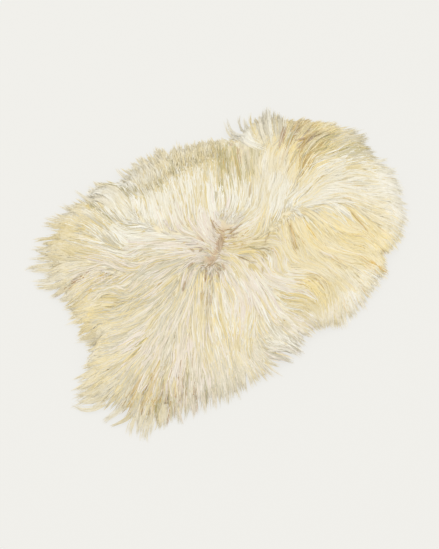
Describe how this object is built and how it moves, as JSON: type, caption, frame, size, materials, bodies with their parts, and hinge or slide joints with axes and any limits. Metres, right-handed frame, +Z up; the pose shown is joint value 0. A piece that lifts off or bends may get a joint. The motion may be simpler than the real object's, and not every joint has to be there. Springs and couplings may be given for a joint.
{
  "type": "sheepskin rug",
  "caption": "Long-wool sheepskin rug: one whole tanned pelt lying skin side down, its cream wool combed out from a short parting to pointed locks round the rim.",
  "frame": {"origin": "on the floor under the middle of the rug's box", "axes": "+X along the pelt's length, +Z up out of the wool"},
  "size_m": [1.092, 0.7774, 0.0579],
  "materials": {
    "tanned_skin": "napped suede",
    "cream_wool": "long silky pile"
  },
  "bodies": {
    "root": {"hide": "tanned_skin", "fleece": "cream_wool"}
  },
  "joints": []
}
